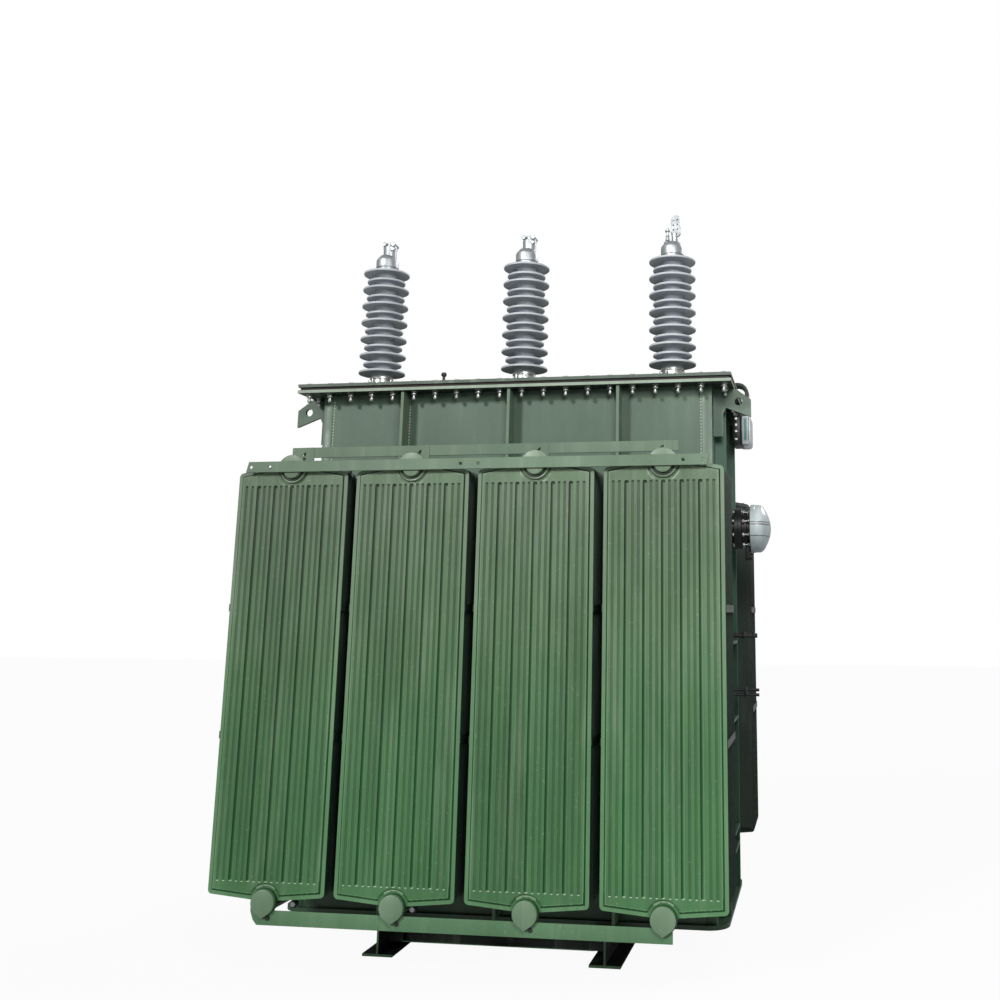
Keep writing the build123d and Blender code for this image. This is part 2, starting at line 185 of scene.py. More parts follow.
def paintMaterial(name, top, low, shine=(0.34, 0.5), streaks=0.25, patches=0.3, scuffs=0.2, heights=(0.6, 2.2)):
    material, tree, shader = startMaterial(name)
    weather = groupNode(tree, weatherAndLitTopGroup, Top=srgb(*top), Low=srgb(*low), Dirt=dirt, Chalk=chalk, Streaks=streaks,
                        Patches=patches, Scuffs=scuffs, Height_Low=heights[0], Height_High=heights[1])
    grain = groupNode(tree, grainGroup, Fine=330.0, Coarse=24.0, Coarse_Share=0.8)
    feedAll(tree, shader, Base_Color=weather.outputs["Color"], Specular_IOR_Level=0.4,
            Roughness=rangeNode(tree, weather.outputs["Dust"], 0.0, 1.0, *shine),
            Normal=bumpNormal(tree, grain.outputs["Height"], 0.12, 0.0006))
    return material


def grainMaterial(name, clean, dull, rough, skin, strength, full):  # two tones that drift over the surface
    material, tree, shader = startMaterial(name)
    grain = groupNode(tree, grainGroup, Fine=skin[0], Coarse=skin[1], Coarse_Share=skin[2])
    shade = rangeNode(tree, grain.outputs["Shade"], 0.35, full)
    feedAll(tree, shader, Base_Color=mixColour(tree, shade, srgb(*clean), srgb(*dull)),
            Roughness=rangeNode(tree, grain.outputs["Shade"], 0.3, 0.7, *rough),
            Normal=bumpNormal(tree, grain.outputs["Height"], strength, 0.0004))
    return material, shader


def metalMaterial(name, clean, dull, rough, brushed=0.1):
    material, shader = grainMaterial(name, clean, dull, rough, (420.0, 38.0, 0.6), brushed, 0.65)
    shader.inputs["Metallic"].default_value = 1.0
    return material


def rubberMaterial(name, clean, dusty, rough):
    material, shader = grainMaterial(name, clean, dusty, rough, (300.0, 14.0, 1.0), 0.06, 0.7)
    shader.inputs["Specular IOR Level"].default_value = 0.35
    return material


wallHeights, radiatorHeights = (1.0, 2.5), (0.5, 2.4)  # where the paler top, painted light from above, starts and is full
# the wall's paler top stands for the lit upper wall: painted light
tankPaint = paintMaterial("tankPaint", (78, 100, 82), (44, 74, 50), streaks=0.12, scuffs=0.06, heights=wallHeights)
coverPaint = paintMaterial("coverPaint", (72, 87, 75), (72, 87, 75), scuffs=0.25)
# a darker, more teal copy of the tank paint for the end walls: painted shade on the faces turned from the key light
endShadePaint = paintMaterial("endShadePaint", (60, 98, 78), (32, 72, 50), streaks=0.15, scuffs=0.05, heights=wallHeights)
shadePaint = paintMaterial("shadePaint", (34, 46, 38), (34, 46, 38), streaks=0.1, scuffs=0.04)
# light paint for the flange's edge strip: painted highlight
flangeHighlightPaint = paintMaterial("flangeHighlightPaint", (140, 156, 138), (136, 152, 134), scuffs=0.3)
barPaint = paintMaterial("barPaint", (94, 115, 94), (84, 120, 87), streaks=0.12, scuffs=0.15)
# the radiators' paler, greyer top is partly painted light from above
radiatorPaint = paintMaterial("radiatorPaint", (92, 112, 88), (67, 111, 69), shine=(0.28, 0.44), streaks=0.3,
                              patches=0.35, scuffs=0.16, heights=radiatorHeights)
# a dark paint for the groove ends and shadow sides, the flute tops, the step round the rim, the rings round the caps
# and the plate behind the slots: painted shade
shadeLinePaint = paintMaterial("shadeLinePaint", (28, 46, 27), (18, 72, 30), streaks=0.2, scuffs=0.05)
# a darker paint in the flutes and in the middle of the grooves: painted shade in the hollows
fluteShadePaint = paintMaterial("fluteShadePaint", (62, 78, 58), (52, 94, 54), streaks=0.3, scuffs=0.1, heights=radiatorHeights)
# a lighter paint for the rim, each groove's lit side, the bright edge line and the top cap's disc: partly painted
# highlight
rimAndHighlightPaint = paintMaterial("rimAndHighlightPaint", (102, 122, 99), (84, 126, 86), streaks=0.2, scuffs=0.2)
capPaint = paintMaterial("capPaint", (112, 132, 110), (100, 126, 100), streaks=0.1, scuffs=0.15)
# a dark paint for the inner fins, headers, header flanges, straps and pipes: painted shade between the fins
finShadePaint = paintMaterial("finShadePaint", (24, 43, 31), (13, 37, 24), streaks=0.2, scuffs=0.06)
# a light paint for the feet of the grooves and flutes, the crescent round the low caps and the weld beads: partly
# wear, partly painted highlight
wornAndHighlightPaint = paintMaterial("wornAndHighlightPaint", (150, 166, 146), (146, 168, 144), streaks=0.1, scuffs=0.5)
basePaint = paintMaterial("basePaint", (30, 42, 32), (22, 34, 24), shine=(0.4, 0.6), heights=(0.0, 0.3))
darkPaint = paintMaterial("darkPaint", (26, 30, 28), (22, 26, 24), shine=(0.35, 0.55), streaks=0.1, scuffs=0.08)
# the dome's top is painted paler and its underside darker: painted shade round the dome
greyPaint = paintMaterial("greyPaint", (204, 212, 214), (164, 176, 178), shine=(0.2, 0.34), streaks=0.15,
                          heights=(1.87, 2.1))
tubePaint = paintMaterial("tubePaint", (70, 80, 75), (66, 76, 70), streaks=0.1)
brownGasket = rubberMaterial("brownGasket", (28, 24, 22), (52, 42, 38), (0.6, 0.8))
insulatorGrey = rubberMaterial("insulatorGrey", (154, 160, 166), (168, 174, 179), (0.42, 0.6))
# a lighter grey for the shed rims: painted highlight
insulatorRim = rubberMaterial("insulatorRim", (172, 177, 181), (188, 192, 195), (0.4, 0.55))
aluminium = metalMaterial("aluminium", (190, 194, 196), (164, 168, 171), (0.42, 0.58))
zinc = metalMaterial("zinc", (206, 208, 205), (162, 166, 164), (0.32, 0.5), 0.2)
tealWindow = rubberMaterial("tealWindow", (84, 142, 132), (120, 160, 152), (0.15, 0.3))
print("materials ready")


def add(target, source, look=None):  # joins a shape to another, in one of the piece's materials
    if look is not None:
        for face in source.faces:
            face.material_index = look
    holder = bpy.data.meshes.new("holder")
    source.to_mesh(holder)
    source.free()
    target.from_mesh(holder)
    bpy.data.meshes.remove(holder)


def turnTo(axis):
    return Vector((0, 0, 1)).rotation_difference(Vector(axis)).to_matrix().to_4x4()


def lathe(profile, origin, axis=(0, 0, 1), steps=32):  # profile of radius and height
    bm = bmesh.new()
    verts = [bm.verts.new((radius, 0, height)) for radius, height in profile]
    edges = [bm.edges.new(pair) for pair in zip(verts, verts[1:])]
    bmesh.ops.spin(bm, geom=verts + edges, cent=(0, 0, 0), axis=(0, 0, 1), angle=2 * math.pi,
                   steps=steps, use_merge=True)
    bmesh.ops.remove_doubles(bm, verts=bm.verts, dist=1e-6)
    bmesh.ops.recalc_face_normals(bm, faces=bm.faces)
    bmesh.ops.transform(bm, matrix=Matrix.Translation(origin) @ turnTo(axis), verts=bm.verts)
    return bm


def rod(radius, start, length, axis=(0, 0, 1), steps=16, edge=0.001):
    inner, end = radius - edge, length - edge
    profile = [(0, 0), (inner, 0), (radius, edge), (radius, end), (inner, length), (0, length)]
    return lathe(profile, start, axis, steps)


def softenEdges(bm, width, segments=2, sharp=0.0):
    edges = [e for e in bm.edges if len(e.link_faces) == 2 and e.calc_face_angle(0.0) > sharp]
    bmesh.ops.bevel(bm, geom=edges, offset=width, offset_type="OFFSET", affect="EDGES",
                    segments=segments, profile=0.5, material=-1, clamp_overlap=True)


def block(low, high, edge=0.0):
    bm = bmesh.new()
    size = Vector(high) - Vector(low)
    middle = (Vector(high) + Vector(low)) / 2
    bmesh.ops.create_cube(bm, size=1.0, matrix=Matrix.Translation(middle) @ Matrix.Diagonal((*size, 1)))
    if edge:
        softenEdges(bm, edge)
    return bm


def plate(outline, plane, thickness, edge=0.0, holes=()):  # outline in x and z, thickness towards +y
    bm = bmesh.new()
    for loop in (outline, *holes):
        verts = [bm.verts.new((x, plane, z)) for x, z in loop]
        for first, second in zip(verts, verts[1:] + verts[:1]):
            bm.edges.new((first, second))
    if holes:
        bmesh.ops.triangle_fill(bm, use_beauty=True, edges=bm.edges[:])
    else:
        bm.faces.new(bm.verts[:])
    made = bmesh.ops.extrude_face_region(bm, geom=bm.faces[:])
    moved = [v for v in made["geom"] if isinstance(v, bmesh.types.BMVert)]
    bmesh.ops.translate(bm, verts=moved, vec=(0, thickness, 0))
    bmesh.ops.recalc_face_normals(bm, faces=bm.faces)
    if edge:
        softenEdges(bm, edge, 1 if holes else 2, 0.9)
    return bm


def arcLoop(x, z, radius, start, step, count):  # points on a circle, its angles in degrees
    turns = [math.radians(start + step * k) for k in range(count)]
    return [(x + radius * math.cos(turn), z + radius * math.sin(turn)) for turn in turns]


def slotLoop(x, z, radius, reach, lean):  # a slot hole along a leaning line
    alongX, alongZ = reach * math.cos(math.radians(lean)), reach * math.sin(math.radians(lean))
    return (arcLoop(x + alongX, z + alongZ, radius, lean - 90, 30, 7)
            + arcLoop(x - alongX, z - alongZ, radius, lean + 90, 30, 7))


def cornerLoop(low, high, corners):  # an outline with a radius for each corner, low left first
    loop = []
    places = ((low[0], low[1], 1, 1, 180), (high[0], low[1], -1, 1, 270),
              (high[0], high[1], -1, -1, 0), (low[0], high[1], 1, -1, 90))
    for (x, z, inX, inZ, start), radius in zip(places, corners):
        loop += arcLoop(x + inX * radius, z + inZ * radius, radius, start, 18, 6)
    return loop


def boltCircle(radius):  # places of eight bolts, half a step round from the first axis
    return arcLoop(0, 0, radius, 22.5, 45, 8)


def hexPrism(width, height, centre, axis=(0, 0, 1), sides=6, edge=0.001):  # width across the flats
    bm = bmesh.new()
    radius = width / 2 / math.cos(math.pi / sides)
    bmesh.ops.create_cone(bm, cap_ends=True, segments=sides, radius1=radius, radius2=radius, depth=height,
                          matrix=Matrix.Translation(centre) @ turnTo(axis))
    if edge:
        softenEdges(bm, edge, 1)
    return bm


def flipY(bm):
    bmesh.ops.scale(bm, vec=(1, -1, 1), verts=bm.verts)
    bmesh.ops.reverse_faces(bm, faces=bm.faces)
    return bm


def withRear(bm):  # the same again on the rear side
    add(bm, flipY(bm.copy()))
    return bm


def newObject(name, data):
    thing = bpy.data.objects.new(name, data)
    bpy.context.scene.collection.objects.link(thing)
    return thing


def finish(name, bm, materials, replaced=(), smooth=True):
    mesh = bpy.data.meshes.new(name)
    bm.to_mesh(mesh)
    bm.free()
    piece = newObject(name, mesh)
    for material in materials:
        mesh.materials.append(material)
    if smooth:
        for polygon in mesh.polygons:
            polygon.use_smooth = True
        mesh.set_sharp_from_angle(angle=math.radians(35))
    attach(piece, "root")
    if replaced:
        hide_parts(*replaced)
    return piece


toFront, toRear, toRight = (0, -1, 0), (0, 1, 0), (1, 0, 0)

radiator = {
    "places": [-0.87, -0.29, 0.29, 0.87],
    "face": 1.102,  # distance of the pressed face from the middle of the tank
    "halfWidth": 0.268,
    "pointLow": 0.336,
    "pointHigh": 2.247,
    "slopeLow": 0.024,
    "slopeHigh": 0.052,
    "corner": 0.016,
    "rim": 0.017,
    "rimThickness": 0.004,
    "pressing": 0.008,
    "pressingSlope": 0.007,
    "fins": 10,
    "finPitch": 0.045,
    "finSheet": 0.003,
    "finSlope": 0.006,
    "finBulge": 0.0035,
    "grooves": [-0.164, -0.082, 0.0, 0.082, 0.164],
    "grooveRadius": 0.0095,
    "grooveDepth": 0.0068,
    "fluteShares": (0.34, 0.66),  # of the way from one groove to the next
    "outerFlutes": (0.032, 0.06),  # beyond the last groove
    "fluteRadius": 0.006,
    "fluteDepth": 0.0022,
    "channels": (0.413, 2.138),  # ends of the grooves and flutes
    "headers": (0.336, 2.222),
    "headerRadius": 0.045,
    "archRadius": 0.067,  # where the pressing makes room for the header's cap
    "archSlope": 0.01,
    "flangeFace": 0.627,
    "flangeHalf": 0.075,
    "flangeThickness": 0.014,
    "flangeBolts": 0.058,
}
shading = {  # how far the painted shade lines, the worn and painted highlight spots and the painted highlight edge reach
    "grooveTop": 0.012,
    "fluteTop": 0.0095,
    "grooveFoot": 0.004,
    "fluteFoot": 0.003,
    "grooveShare": 0.1,
    "fluteShare": 0.3,
    "lowerPart": 1.0,
    "arch": 0.003,
    "archHalf": 0.045,
    "lineLow": 0.0075,
    "lineHigh": 0.0045,
    "bright": 0.01,
}
panelGrid = {  # where the grid of the pressed panel has its columns and rows
    "sides": (0, 0.002, 0.006, 0.012, 0.016, 0.0175, 0.0195, 0.0215, 0.0235, 0.0255, 0.028),
    "step": 0.006,
    "steps": range(2, 18),
    "groove": (-1, -0.9, -0.7, -0.45, -0.2, 0.2, 0.5, 0.8, 1),
    "flute": (-1, -0.9, -0.5, 0, 0.5, 0.9, 1),
    "edges": (0, 0.005, 0.016, 0.0175, 0.0195, 0.0215, 0.0235, 0.0255, 0.028),
    "ends": (-0.003, 0.0, 0.0006, 0.0018, 0.004, 0.007, 0.0095, 0.013),
    "between": 9,
}
# the dark line paint is painted shade, the rim and worn paints also carry painted highlights, the flute and fin paints
# are painted shade
radiatorPaints = {"paint": radiatorPaint, "line": shadeLinePaint, "flute": fluteShadePaint, "rim": rimAndHighlightPaint,
                  "wornAndHighlight": wornAndHighlightPaint, "bolt": zinc, "fin": finShadePaint, "cap": capPaint}
look = {name: number for number, name in enumerate(radiatorPaints)}


def edgeDrop(x, slope):  # how far the outline falls from its point at this x
    half, corner = radiator["halfWidth"], radiator["corner"]
    drop = slope * abs(x) / half
    over = abs(x) - (half - corner)
    if over > 0:
        drop += corner - math.sqrt(max(corner ** 2 - over ** 2, 0.0))
    return drop


def lowEdge(x):
    return radiator["pointLow"] + edgeDrop(x, radiator["slopeLow"])


def highEdge(x):
    return radiator["pointHigh"] - edgeDrop(x, radiator["slopeHigh"])


def fluteCentres():
    grooves = radiator["grooves"]
    pitch = grooves[1] - grooves[0]
    flutes = [groove + pitch * share for groove in grooves[:-1] for share in radiator["fluteShares"]]
    return flutes + [side * (grooves[-1] + step) for side in (-1, 1) for step in radiator["outerFlutes"]]


channels = ((radiator["grooves"], "groove"), (fluteCentres(), "flute"))


def channelShare(x, z, centre, radius):  # 1 on the middle line of a channel, 0 at its edge
    low, high = radiator["channels"][0] + radius, radiator["channels"][1] - radius
    reach = max(low - z, 0.0, z - high)
    distance = math.hypot(x - centre, reach) / radius
    return math.sqrt(max(1 - distance * distance, 0.0))


def edgeDistance(x, z):
    return min(radiator["halfWidth"] - abs(x), z - lowEdge(x), highEdge(x) - z)


def archDistance(x, z):
    return min(math.hypot(x, z - radiator["headers"][0]), math.hypot(x, z - topCap["place"]))


def pressedHeight(x, z):
    rise = (edgeDistance(x, z) - radiator["rim"]) / radiator["pressingSlope"]
    arch = (archDistance(x, z) - radiator["archRadius"]) / radiator["archSlope"]
    share = min(max(min(rise, arch), 0.0), 1.0)
    height = radiator["pressing"] * share * share * (3 - 2 * share)
    for centres, name in channels:
        radius = radiator[name + "Radius"]
        for centre in centres:
            if abs(x - centre) <= radius:
                height -= radiator[name + "Depth"] * channelShare(x, z, centre, radius)
    return height


def panelLook(x, z):  # which paint a face of the pressed panel shows: painted shade in the hollows, on each groove's shadow side and on the step round the rim, painted highlights on each groove's lit side, at the channel feet and on the edge
    low, high = radiator["channels"]
    lower = z < shading["lowerPart"]
    for centres, name in channels:
        radius = radiator[name + "Radius"]
        for centre in centres:
            share = channelShare(x, z, centre, radius)
            if share > shading[name + "Share"] and z > high - shading[name + "Top"]:
                return "line"
            if share > 0.3:
                side = (x - centre) / radius if name == "groove" else 0
                foot = z < low + shading[name + "Foot"]
                return "wornAndHighlight" if foot else "line" if side < -0.3 else "rim" if side > 0.3 else "flute"
    arch = archDistance(x, z) - radiator["archRadius"]
    if arch < shading["arch"] and lower:
        return "wornAndHighlight" if abs(x) < shading["archHalf"] and arch > -shading["arch"] else "paint"
    toRim = edgeDistance(x, z) - radiator["rim"]
    if toRim < -0.001:
        return "rim"
    if toRim < shading["lineLow" if lower else "lineHigh"]:
        return "line"
    return "rim" if toRim < shading["bright"] else "paint"


def panelColumns():
    columns = {0.0}
    for side in (-1, 1):
        columns |= {side * (radiator["halfWidth"] - inset) for inset in panelGrid["sides"]}
        columns |= {side * step * panelGrid["step"] for step in panelGrid["steps"]}
    for centres, name in channels:
        for centre in centres:
            columns |= {centre + radiator[name + "Radius"] * share for share in panelGrid[name]}
    return sorted({round(x, 5) for x in columns})


def rowHeights(x):  # the grid's rows at this x, from the low edge to the high one
    edges, ends, between = panelGrid["edges"], panelGrid["ends"], panelGrid["between"]
    low, high = radiator["channels"]
    start, stop = lowEdge(x) + edges[-1], highEdge(x) - edges[-1]
    rows = [lowEdge(x) + inset for inset in edges]
    rows += [start + (low + ends[0] - start) * k / between for k in range(1, between)]
    rows += [low + inset for inset in ends] + [high - inset for inset in reversed(ends)]
    rows += [stop - (stop - high + ends[0]) * k / between for k in range(between - 1, 0, -1)]
    return rows + [highEdge(x) - inset for inset in reversed(edges)]


def pressedPanel():  # the outer fin, at x = 0, facing -y
    columns = panelColumns()
    heights = {x: rowHeights(x) for x in columns}
    lastColumn, lastRow = len(columns) - 1, len(heights[0.0]) - 1
    bm = bmesh.new()
    bmesh.ops.create_grid(bm, x_segments=lastColumn, y_segments=lastRow, size=1.0)
    for vert in bm.verts:
        x = columns[round((vert.co.x + 1) / 2 * lastColumn)]
        z = heights[x][round((vert.co.y + 1) / 2 * lastRow)]
        vert.co = (x, -(radiator["face"] - radiator["pressing"]) - pressedHeight(x, z), z)
    for face in bm.faces:
        middle = face.calc_center_median()
        face.material_index = look[panelLook(middle.x, middle.z)]
    made = bmesh.ops.extrude_edge_only(bm, edges=[e for e in bm.edges if e.is_boundary])
    moved = [v for v in made["geom"] if isinstance(v, bmesh.types.BMVert)]
    bmesh.ops.translate(bm, verts=moved, vec=(0, radiator["rimThickness"], 0))
    back = [e for e in made["geom"] if isinstance(e, bmesh.types.BMEdge) and e.is_boundary]
    bmesh.ops.edgeloop_fill(bm, edges=back)
    bmesh.ops.recalc_face_normals(bm, faces=bm.faces)
    return bm


def finOutline():
    half, corner = radiator["halfWidth"], radiator["corner"]
    across = [0.0] + [half - corner * share for share in (1, 0.62, 0.3, 0.08, 0)]
    right = [(x, lowEdge(x)) for x in across] + [(x, highEdge(x)) for x in reversed(across)]
    return right + [(-x, z) for x, z in reversed(right) if x > 0]


def innerFin(number):  # two thin sheets welded at the rim, bulging to the fin's thickness
    plane = -(radiator["face"] - number * radiator["finPitch"]) + radiator["finBulge"]
    bm = plate(finOutline(), plane, radiator["finSheet"])
    wide = [f for f in bm.faces if abs(f.normal.y) > 0.9]
    bmesh.ops.inset_individual(bm, faces=wide, thickness=radiator["rim"], depth=0.0)
    bmesh.ops.inset_individual(bm, faces=wide, thickness=radiator["finSlope"], depth=radiator["finBulge"])
    return bm


lowCap = {  # radius, front and thickness of the disc and of the dark line round it, painted shadow of the disc
    "parts": {"cap": (0.0535, 0.02, 0.032, 0.003), "line": (0.057, 0.003, 0.013, 0.0)},
    "turns": (-54, 9, 33),
    "tip": 1.2,  # of the radius
}
topCap = {  # profiles of radius and height, and the half disc that rises behind the tie bar
    "place": 2.21,
    "rim": [(0, 0.018), (0.037, 0.018), (0.0395, 0.017), (0.041, 0.014), (0.041, -0.004), (0, -0.004)],
    "line": [(0, 0.0015), (0.053, 0.0015), (0.054, 0.0008), (0.054, -0.006), (0, -0.006)],
    "paint": [(0.054, 0.0), (0.0555, 0.004), (0.059, 0.0045), (0.0625, 0.001), (0.0625, -0.006), (0.054, -0.006),
              (0.054, 0.0)],
    "arcRadius": 0.068,
    "arcFace": -1.1205,
    "arcThickness": 0.012,
    "arcTurns": (18, 9, 17),
}


def buildLowCap(height):  # a disc drawn out to a blunt tip at the bottom
    bm = bmesh.new()
    for name, (radius, front, thickness, edge) in lowCap["parts"].items():
        outline = arcLoop(0, height, radius, *lowCap["turns"]) + [(0, height - lowCap["tip"] * radius)]
        add(bm, plate(outline, -radiator["face"] - front, thickness, edge), look[name])
    return bm


def buildTopCap():  # a smaller disc in a dark ring, painted shadow of the proud disc
    bm = bmesh.new()
    for name in ("rim", "line", "paint"):
        add(bm, lathe(topCap[name], (0, -radiator["face"], topCap["place"]), toFront, 40), look[name])
    arc = arcLoop(0, topCap["place"], topCap["arcRadius"], *topCap["arcTurns"])
    add(bm, plate(arc, topCap["arcFace"], topCap["arcThickness"], 0.001), look["rim"])
    return bm


def buildRadiator():
    bm = pressedPanel()
    # the inner fins take the dark fin paint: painted shade between the fins
    for number in range(1, radiator["fins"]):
        add(bm, innerFin(number), look["fin"])
    add(bm, buildLowCap(radiator["headers"][0]))
    add(bm, buildTopCap())
    start, end = -(radiator["face"] - 0.012), -radiator["flangeFace"]
    half, thickness, bolt = (radiator[k] for k in ("flangeHalf", "flangeThickness", "flangeBolts"))
    for height in radiator["headers"]:
        add(bm, rod(radiator["headerRadius"], (0, start, height), end - start, toRear, 32), look["fin"])
        add(bm, block((-half, end - thickness, height - half), (half, end, height + half), 0.002), look["fin"])
        for x, z in ((-bolt, -bolt), (-bolt, bolt), (bolt, -bolt), (bolt, bolt)):
            add(bm, hexPrism(0.024, 0.014, (x, end - 1.5 * thickness, height + z), toRear), look["bolt"])
    return bm


radiatorMesh = buildRadiator()
for rowName in ("front", "rear"):
    for number, place in enumerate(radiator["places"], start=1):
        bm = radiatorMesh.copy()
        if rowName == "rear":
            flipY(bm)
        bmesh.ops.translate(bm, verts=bm.verts, vec=(place, 0, 0))
        finish(f"{rowName}Radiator{number}", bm, radiatorPaints.values(),
               [f"radiator_{rowName}_{number}"])
radiatorMesh.free()
print("radiators ready")


topBar = {"left": -1.091, "right": 1.079, "low": 2.197, "high": 2.247, "slant": 0.012, "face": -1.13,
          "thickness": 0.008, "holes": [-1.067, -0.974, -0.053, 0.031, 0.962, 1.05], "holeRadius": 0.0075,
          "holePlace": 2.222}
upperBar = {"left": -0.961, "right": 0.919, "low": 2.288, "high": 2.338, "slant": 0.0, "face": -0.94,
            "thickness": 0.008, "slots": [-0.895, -0.315, 0.265, 0.845], "slotPlace": 2.306,
            "slotSize": (0.0065, 0.009, 40),  # radius, reach and lean
            "shadePlate": [(-0.026, 2.274), (0.002, 2.279), (0.02, 2.318), (-0.006, 2.322), (-0.014, 2.29)],
            "shadePlateThickness": 0.004}
lowBar = {"right": 0.908, "low": 0.243, "high": 0.303, "face": -1.102, "thickness": 0.008,
          "leftEnd": [(-0.932, 0.336), (-0.93, 0.296), (-0.917, 0.263), (-0.899, 0.243)], "step": -0.86, "top": 0.336}


def drilledBar(bar, holes):
    left, right, low, high, slant = (bar[k] for k in ("left", "right", "low", "high", "slant"))
    outline = [(left, low), (right - slant, low), (right, high), (left + slant, high)]
    return plate(outline, bar["face"], bar["thickness"], 0.0012, holes)


bm = drilledBar(topBar, [arcLoop(x, topBar["holePlace"], topBar["holeRadius"], 0, 22.5, 16) for x in topBar["holes"]])
finish("topTieBars", withRear(bm), [barPaint], ["top_tie_bars"])

bm = drilledBar(upperBar, [slotLoop(x, upperBar["slotPlace"], *upperBar["slotSize"]) for x in upperBar["slots"]])
behind = upperBar["face"] + upperBar["thickness"] + 0.0002
for place in upperBar["slots"]:  # a dark plate shows through each slot and under the bar: painted shade seen through the slot and painted shadow under the bar
    shadePlate = [(place + x, z) for x, z in upperBar["shadePlate"]]
    add(bm, plate(shadePlate, behind, upperBar["shadePlateThickness"]), 1)
finish("upperTieBars", withRear(bm), [barPaint, shadeLinePaint], ["upper_tie_bars"])

outline = [*lowBar["leftEnd"], (lowBar["right"], lowBar["low"]), (lowBar["right"], lowBar["high"]),
           (lowBar["step"], lowBar["high"]), (lowBar["step"], lowBar["top"])]
bm = plate(outline, lowBar["face"], lowBar["thickness"], 0.0015)
finish("bottomTieBars", withRear(bm), [barPaint], ["bottom_tie_bars"])

drains = {"plug": (0.023, -1.098, 0.273), "plugRadius": 0.008, "valve": (-0.055, -0.68, 0.231), "valveRadius": 0.019,
          "boreRadius": 0.012, "stemRadius": 0.008}  # places are counted from a radiator's middle
bm = bmesh.new()
for place in radiator["places"][:3]:
    plug, valve = (Vector((place, 0, 0)) + Vector(drains[name]) for name in ("plug", "valve"))
    add(bm, rod(drains["plugRadius"], plug, 0.012, toFront, 12), 0)
    add(bm, hexPrism(2 * drains["plugRadius"], 0.006, plug + Vector((0, -0.008, 0)), toRear), 0)
    add(bm, rod(drains["valveRadius"], valve, 0.02, toFront, 20, 0.003), 0)
    add(bm, rod(drains["boreRadius"], valve + Vector((0, -0.02, 0)), 0.008, toFront, 16, 0.002), 1)
    add(bm, rod(drains["stemRadius"], valve + Vector((0, -0.005, 0.009)), 0.06, steps=12), 0)
finish("drainPlugs", withRear(bm), [darkPaint, zinc])
print("tie bars ready")


bushing = {
    "places": [(-0.805, -0.272), (0.0, -0.272), (0.805, -0.272)],
    "coverTop": 2.731,
    "flangeRadius": 0.078,
    "turretRadius": 0.062,
    "turretHeight": 0.089,
    "boltCircle": 0.069,
    "bolts": [(0.014, 0.012, 0.024, 6, 0.001), (0.012, 0.008, 0.036, 6, 0.001), (0.007, 0.05, 0.048, 8, 0.0)],
    "coreRadius": 0.0555,
    "sheds": 13,
    "shedPitch": 0.047,
    "firstShed": 0.019,
    "wideRadius": 0.125,
    "narrowRadius": 0.1035,
    "neck": 0.026,
    "capHeight": 0.075,
    "capRadius": 0.0615,
}


def shedProfile(core, rim, level):  # from the core out along the underside and back over the top
    under = [(core, -0.006), (core + 0.003, 0.001), (rim - 0.016, 0.001), (rim - 0.006, -0.002), (rim - 0.001, -0.001)]
    over = [(rim, 0.002), (rim, 0.007), (rim - 0.0015, 0.0095), (rim - 0.006, 0.0105), (core + 0.014, 0.0175),
            (core + 0.004, 0.021), (core, 0.027)]
    return [(radius, level + rise) for radius, rise in under + over]


def insulatorProfile():
    base, core = bushing["coverTop"] + bushing["turretHeight"], bushing["coreRadius"]
    profile = [(0, base), (core, base)]
    for number in range(bushing["sheds"]):
        rim = bushing["narrowRadius" if number % 2 else "wideRadius"]
        level = base + bushing["firstShed"] + number * bushing["shedPitch"]
        profile += shedProfile(core, rim, level)
    top = level + bushing["neck"]
    return profile[:-1] + [(core, top - 0.001), (core - 0.001, top), (0, top)], top


profile, insulatorTop = insulatorProfile()
bm = bmesh.new()
for x, y in bushing["places"]:
    shape = lathe(profile, (x, y, 0), steps=48)
    for face in shape.faces:  # the rims are a shade lighter: painted highlight where the light catches them
        middle = face.calc_center_median()
        reach = math.hypot(middle.x - x, middle.y - y)
        onRim = min(abs(reach - bushing["wideRadius"]), abs(reach - bushing["narrowRadius"])) < 0.0045
        face.material_index = 1 if onRim and face.normal.z > -0.75 and reach > 0.095 else 0
    add(bm, shape)
finish("insulatorSheds", bm, [insulatorGrey, insulatorRim], ["bushing_insulators"])

flange, turret, top = bushing["flangeRadius"], bushing["turretRadius"], bushing["turretHeight"]
profile = [(0, 0), (flange, 0), (flange, 0.015), (flange - 0.002, 0.018), (turret - 0.004, 0.018),
           (turret - 0.006, 0.022), (turret - 0.006, top - 0.014), (turret, top - 0.012), (turret, top - 0.001),
           (turret - 0.001, top), (0, top)]
bm = bmesh.new()
for x, y in bushing["places"]:
    add(bm, lathe(profile, (x, y, bushing["coverTop"]), steps=40))
    for alongX, alongY in boltCircle(bushing["boltCircle"]):
        foot = Vector((x + alongX, y + alongY, bushing["coverTop"]))
        for width, height, rise, sides, edge in bushing["bolts"]:
            add(bm, hexPrism(width, height, foot + Vector((0, 0, rise)), sides=sides, edge=edge))
finish("bushingFeet", bm, [zinc], ["bushing_flanges"])

clamp = {"shift": 0.012, "studRadius": 0.0365, "neckRadius": 0.021, "boltSpacing": 0.0265, "boltRadius": 0.0125,
         "boltLength": 0.068, "jaw": (0.0085, 0.02)}
palm = {"half": 0.0275, "low": 0.046, "high": 0.168, "chamfer": 0.012, "thickness": 0.014, "turn": -20,
        "shift": 0.02, "holes": [(x, z) for x in (-0.012, 0.012) for z in (0.085, 0.112, 0.139)], "holeRadius": 0.0055,
        "stemRadius": 0.017, "boltShift": -0.024,
        "nuts": ((0.022, 0.012, 0.03), (0.018, 0.01, 0.05), (0.026, 0.008, 0.078))}


